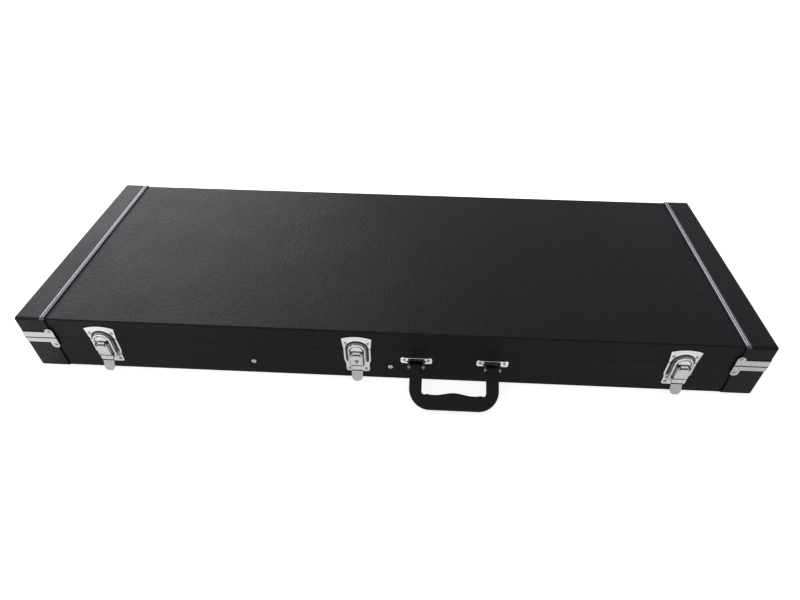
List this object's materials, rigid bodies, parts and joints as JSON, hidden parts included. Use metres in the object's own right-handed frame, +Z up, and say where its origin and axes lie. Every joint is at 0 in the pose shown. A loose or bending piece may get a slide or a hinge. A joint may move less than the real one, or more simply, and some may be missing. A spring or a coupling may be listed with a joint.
{
  "type": "electric guitar case",
  "caption": "Long rectangular hard case for an electric guitar, with a hinged lid, draw latches and a carrying handle.",
  "frame": {"origin": "under the middle of the closed case's bounding box, at the level of the surface it rests on", "axes": "+X along the case towards the guitar body's end, -Y towards the latches and the handle, +Z up"},
  "size_m": [1.0342, 0.4108, 0.098],
  "materials": {
    "covering": "black leatherette with a fine pebble grain",
    "end_band": "black leatherette",
    "plywood": "bare plywood",
    "plush": "short black plush",
    "ribbon": "woven ribbon",
    "handle": "soft black moulding",
    "chrome": "bright nickel plate",
    "steel": "plated steel"
  },
  "bodies": {
    "body": {"body_bottom_board": "plywood", "body_front_board": "plywood", "body_back_board": "plywood", "body_left_board": "plywood", "body_right_board": "plywood", "body_covering": "covering", "body_left_band": "end_band", "body_right_band": "end_band", "rim_lip": "plywood", "body_lining": "plush", "body_cradle": "plush", "neck_partition_left": "plush", "neck_partition_right": "plush", "compartment_inner_wall": "plywood", "compartment_batten": "plywood", "compartment_hinge_pins": "steel", "handle_bracket_left": "chrome", "handle_bracket_right": "chrome", "handle_pins": "steel", "body_trim_screws": "steel", "partition_screws": "steel", "latch_base_screws": "steel", "latch_pivot_pins": "steel", "hinge_body_leaves": "chrome", "hinge_pins": "steel", "hinge_body_screws": "steel", "body_corner_strips": "chrome", "latch_base_left": "chrome", "latch_base_middle": "chrome", "latch_base_right": "chrome"},
    "lid": {"lid_top_board": "plywood", "lid_front_board": "plywood", "lid_back_board": "plywood", "lid_left_board": "plywood", "lid_right_board": "plywood", "lid_covering": "covering", "lid_left_band": "end_band", "lid_right_band": "end_band", "lid_lining": "plush", "lid_pad": "plush", "latch_catch_screws": "steel", "hinge_lid_leaves": "chrome", "hinge_lid_screws": "steel", "lid_corner_strips": "chrome", "lid_trim_screws": "steel", "latch_catch_left": "chrome", "latch_catch_middle": "chrome", "latch_catch_right": "chrome"},
    "lever_left": {"latch_lever_left": "chrome"},
    "bail_left": {"latch_bail_left": "chrome"},
    "lever_middle": {"latch_lever_middle": "chrome"},
    "bail_middle": {"latch_bail_middle": "chrome"},
    "lever_right": {"latch_lever_right": "chrome"},
    "bail_right": {"latch_bail_right": "chrome"},
    "lock": {"lock_plug": "steel"},
    "handle": {"handle": "handle"},
    "compartment_lid": {"compartment_lid": "plush", "compartment_pull": "ribbon"}
  },
  "joints": [
    {"name": "lid_hinge", "type": "hinge", "parent": "body", "child": "lid", "pos_m": [0, 0.20244, 0.0607], "axis": [-1, 0, 0], "range_deg": [0, 105]},
    {"name": "latch_lever_left", "type": "hinge", "parent": "body", "child": "lever_left", "pos_m": [-0.4015, -0.15426, 0.056], "axis": [-1, 0, 0], "range_deg": [0, 140]},
    {"name": "latch_bail_left", "type": "hinge", "parent": "lever_left", "child": "bail_left", "pos_m": [-0.4015, -0.15176, 0.032], "axis": [-1, 0, 0], "range_deg": [-140, 0]},
    {"name": "latch_lever_middle", "type": "hinge", "parent": "body", "child": "lever_middle", "pos_m": [-0.044, -0.15426, 0.056], "axis": [-1, 0, 0], "range_deg": [0, 140]},
    {"name": "latch_bail_middle", "type": "hinge", "parent": "lever_middle", "child": "bail_middle", "pos_m": [-0.044, -0.15176, 0.032], "axis": [-1, 0, 0], "range_deg": [-140, 0]},
    {"name": "latch_lever_right", "type": "hinge", "parent": "body", "child": "lever_right", "pos_m": [0.4003, -0.15426, 0.056], "axis": [-1, 0, 0], "range_deg": [0, 140]},
    {"name": "latch_bail_right", "type": "hinge", "parent": "lever_right", "child": "bail_right", "pos_m": [0.4003, -0.15176, 0.032], "axis": [-1, 0, 0], "range_deg": [-140, 0]},
    {"name": "lock_turn", "type": "hinge", "parent": "lever_middle", "child": "lock", "pos_m": [-0.044, -0.15726, 0.046], "axis": [0, -1, 0], "range_deg": [0, 90]},
    {"name": "handle_swing", "type": "hinge", "parent": "body", "child": "handle", "pos_m": [0.0917, -0.15626, 0.0382], "axis": [-1, 0, 0], "range_deg": [-55, 120]},
    {"name": "compartment_hinge", "type": "hinge", "parent": "body", "child": "compartment_lid", "pos_m": [-0.0957, -0.01756, 0.0459], "axis": [-1, 0, 0], "range_deg": [0, 84]}
  ],
  "couplings": [
    {"joint": "latch_bail_left", "follows": "latch_lever_left", "ratio": -1},
    {"joint": "latch_bail_middle", "follows": "latch_lever_middle", "ratio": -1},
    {"joint": "latch_bail_right", "follows": "latch_lever_right", "ratio": -1},
    {"joint": "compartment_hinge", "follows": "lid_hinge", "ratio": 0.8}
  ]
}
